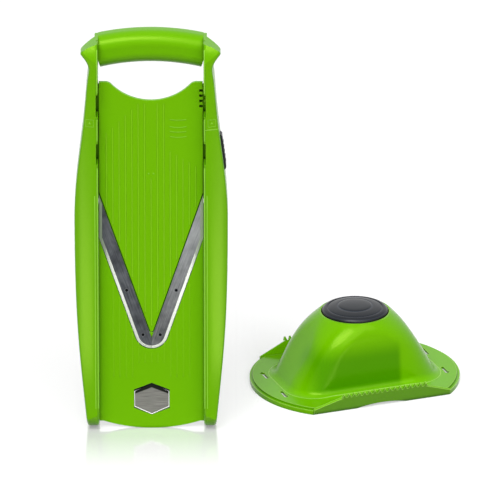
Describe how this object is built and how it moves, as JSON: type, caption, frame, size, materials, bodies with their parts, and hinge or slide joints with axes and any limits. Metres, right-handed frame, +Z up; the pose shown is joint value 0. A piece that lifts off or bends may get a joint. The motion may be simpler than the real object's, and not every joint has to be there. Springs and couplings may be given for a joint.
{
  "type": "mandoline slicer",
  "caption": "Upright plastic mandoline with a V blade, slide-in insert, side lock and handle grip, and its winged food holder with a push knob.",
  "frame": {"origin": "centre of the base of the set's bounding box, on the floor", "axes": "+Z up along the slicer, -Y the slicer's working face, +X to the food holder's side"},
  "size_m": [0.3514, 0.2188, 0.381],
  "materials": {
    "green_plastic": "satin moulded",
    "black_plastic": "satin",
    "blade_steel": "fine brushed, ground edge",
    "plate_steel": "brushed",
    "small_steel": "bright"
  },
  "bodies": {
    "frame": {"rail_right": "green_plastic", "rail_left": "green_plastic", "grip_bar": "green_plastic", "deck_plate": "green_plastic", "blade_right": "blade_steel", "blade_left": "blade_steel", "blade_eyelets": "small_steel", "badge_plate": "plate_steel", "lock_cover": "green_plastic", "lock_pin": "small_steel"},
    "insert": {"slide_insert": "green_plastic"},
    "lock": {"lock_lever": "green_plastic", "lock_button": "black_plastic", "lock_spring": "small_steel"},
    "holder": {"holder_brim": "green_plastic", "holder_crown": "green_plastic", "return_spring": "small_steel"},
    "plunger": {"knob": "black_plastic", "plunger_stem": "black_plastic", "stem_clip": "small_steel", "pin_plate": "black_plastic", "food_pins": "small_steel", "stem_screw": "small_steel"}
  },
  "joints": [
    {"name": "insert_slide", "type": "slide", "parent": "frame", "child": "insert", "axis": [0, 0, 1], "range_m": [0, 0.28]},
    {"name": "lock_pivot", "type": "hinge", "parent": "frame", "child": "lock", "pos_m": [-0.05116, -0.09538, 0.297], "axis": [0, 1, 0], "range_deg": [0, 3], "stiffness_Nm_per_rad": 0.3, "springref_deg": -2.86, "deforming": ["lock_spring"]},
    {"name": "holder_lift", "type": "slide", "parent": "frame", "child": "holder", "axis": [0, 0, 1], "range_m": [0, 0.08]},
    {"name": "knob_press", "type": "slide", "parent": "holder", "child": "plunger", "axis": [0, 0, -1], "range_m": [0, 0.012], "stiffness_N_per_m": 150, "springref_m": -0.01, "deforming": ["return_spring"]}
  ]
}
